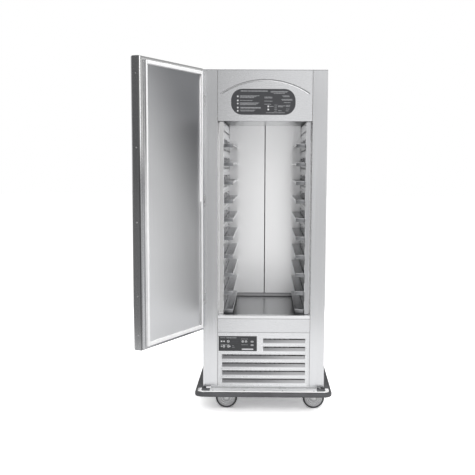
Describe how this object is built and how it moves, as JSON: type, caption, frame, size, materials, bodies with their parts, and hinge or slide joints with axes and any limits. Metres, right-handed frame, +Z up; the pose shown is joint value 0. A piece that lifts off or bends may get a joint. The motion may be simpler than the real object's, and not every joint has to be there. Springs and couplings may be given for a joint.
{
  "type": "air curtain refrigerator",
  "caption": "Tall mobile stainless steel air curtain refrigerator with an open side-hinged door, tray slides, louvred machine bay, wrap-around bumper and casters.",
  "frame": {"origin": "on the floor, under the middle of the cabinet's width and depth, where it stands", "axes": "+Z up, -Y out of the front opening, +X to the right seen from the front"},
  "size_m": [1.0505, 1.7077, 1.944],
  "materials": {
    "brushed_skin": "satin",
    "liner_steel": "satin",
    "slide_steel": "satin",
    "chassis_steel": "satin",
    "bumper_channel": "satin",
    "bumper_rubber": "matte",
    "caster_zinc": "satin",
    "wheel_core": "satin",
    "tyre_grey": "matte",
    "plate_black": "satin",
    "display_dark": "gloss",
    "key_grey": "satin",
    "gasket_white": "matte",
    "hinge_steel": "satin",
    "foam": "matte",
    "fins": "satin",
    "machine_black": "satin",
    "fan_plastic": "matte",
    "copper": "satin",
    "housing_plastic": "matte"
  },
  "bodies": {
    "cabinet": {"base_chassis": "chassis_steel", "front_deck_plate": "brushed_skin", "bumper_rail": "bumper_channel", "bumper_rubber": "bumper_rubber", "caster_mounting_plates": "caster_zinc", "rear_left_caster_fork": "caster_zinc", "rear_right_caster_fork": "caster_zinc", "left_side_panel": "brushed_skin", "right_side_panel": "brushed_skin", "rear_panel": "brushed_skin", "top_panel": "brushed_skin", "front_pillars": "brushed_skin", "header_panel": "brushed_skin", "operation_label": "plate_black", "sill_panel": "brushed_skin", "threshold_strip": "brushed_skin", "front_grille": "brushed_skin", "control_plate": "plate_black", "display_window": "display_dark", "control_box": "housing_plastic", "power_inlet": "housing_plastic", "inner_liner": "liner_steel", "cabinet_insulation": "foam", "back_wall_panels": "liner_steel", "air_duct_panels": "liner_steel", "left_tray_slides": "slide_steel", "right_tray_slides": "slide_steel", "evaporator_coil": "fins", "evaporator_fan_motor": "machine_black", "compressor": "machine_black", "condenser_coil": "fins", "condenser_fan_shroud": "machine_black", "refrigerant_lines": "copper", "hinge_cabinet_leaves": "hinge_steel", "hinge_pins": "hinge_steel"},
    "door": {"door_outer_pan": "brushed_skin", "door_inner_pan": "liner_steel", "door_foam": "foam", "door_gasket": "gasket_white", "door_handle_cup": "hinge_steel", "hinge_door_leaves": "hinge_steel"},
    "front_left_caster": {"front_left_caster_fork": "caster_zinc"},
    "front_right_caster": {"front_right_caster_fork": "caster_zinc"},
    "front_left_wheel": {"front_left_caster_wheel": "wheel_core", "front_left_caster_tyre": "tyre_grey"},
    "front_right_wheel": {"front_right_caster_wheel": "wheel_core", "front_right_caster_tyre": "tyre_grey"},
    "rear_left_wheel": {"rear_left_caster_wheel": "wheel_core", "rear_left_caster_tyre": "tyre_grey"},
    "rear_right_wheel": {"rear_right_caster_wheel": "wheel_core", "rear_right_caster_tyre": "tyre_grey"},
    "front_left_brake": {"front_left_caster_brake": "caster_zinc"},
    "front_right_brake": {"front_right_caster_brake": "caster_zinc"},
    "evaporator_fan": {"evaporator_fan_blade": "fan_plastic"},
    "condenser_fan": {"condenser_fan_blade": "fan_plastic"},
    "set_button": {"set_key": "key_grey"},
    "up_button": {"up_key": "key_grey"},
    "down_button": {"down_key": "key_grey"},
    "power_button": {"power_key": "key_grey"},
    "defrost_button": {"defrost_key": "key_grey"}
  },
  "joints": [
    {"name": "door_hinge", "type": "hinge", "parent": "cabinet", "child": "door", "pos_m": [-0.358, -0.521, 1.213], "axis": [0, 0, 1], "range_deg": [-67.5, 112.5]},
    {"name": "front_left_swivel", "type": "hinge", "parent": "cabinet", "child": "front_left_caster", "pos_m": [-0.2555, -0.415, 0.14], "axis": [0, 0, 1], "continuous": true},
    {"name": "front_right_swivel", "type": "hinge", "parent": "cabinet", "child": "front_right_caster", "pos_m": [0.2555, -0.415, 0.14], "axis": [0, 0, 1], "continuous": true},
    {"name": "front_left_roll", "type": "hinge", "parent": "front_left_caster", "child": "front_left_wheel", "pos_m": [-0.2169, -0.415, 0.0635], "axis": [0, 1, 0], "continuous": true},
    {"name": "front_right_roll", "type": "hinge", "parent": "front_right_caster", "child": "front_right_wheel", "pos_m": [0.2941, -0.415, 0.0635], "axis": [0, 1, 0], "continuous": true},
    {"name": "rear_left_roll", "type": "hinge", "parent": "cabinet", "child": "rear_left_wheel", "pos_m": [-0.2555, 0.395, 0.0635], "axis": [1, 0, 0], "continuous": true},
    {"name": "rear_right_roll", "type": "hinge", "parent": "cabinet", "child": "rear_right_wheel", "pos_m": [0.2555, 0.395, 0.0635], "axis": [1, 0, 0], "continuous": true},
    {"name": "front_left_brake_press", "type": "hinge", "parent": "front_left_caster", "child": "front_left_brake", "pos_m": [-0.1955, -0.415, 0.131], "axis": [0, 1, 0], "range_deg": [0, 8]},
    {"name": "front_right_brake_press", "type": "hinge", "parent": "front_right_caster", "child": "front_right_brake", "pos_m": [0.3155, -0.415, 0.131], "axis": [0, 1, 0], "range_deg": [0, 8]},
    {"name": "evaporator_fan_spin", "type": "hinge", "parent": "cabinet", "child": "evaporator_fan", "pos_m": [0.07, 0, 1.7592], "axis": [1, 0, 0], "continuous": true},
    {"name": "condenser_fan_spin", "type": "hinge", "parent": "cabinet", "child": "condenser_fan", "pos_m": [-0.06, -0.267, 0.2925], "axis": [0, 1, 0], "continuous": true},
    {"name": "set_press", "type": "slide", "parent": "cabinet", "child": "set_button", "axis": [0, 1, 0], "range_m": [0, 0.001], "stiffness_N_per_m": 800},
    {"name": "up_press", "type": "slide", "parent": "cabinet", "child": "up_button", "axis": [0, 1, 0], "range_m": [0, 0.001], "stiffness_N_per_m": 800},
    {"name": "down_press", "type": "slide", "parent": "cabinet", "child": "down_button", "axis": [0, 1, 0], "range_m": [0, 0.001], "stiffness_N_per_m": 800},
    {"name": "power_press", "type": "slide", "parent": "cabinet", "child": "power_button", "axis": [0, 1, 0], "range_m": [0, 0.001], "stiffness_N_per_m": 800},
    {"name": "defrost_press", "type": "slide", "parent": "cabinet", "child": "defrost_button", "axis": [0, 1, 0], "range_m": [0, 0.001], "stiffness_N_per_m": 800}
  ]
}
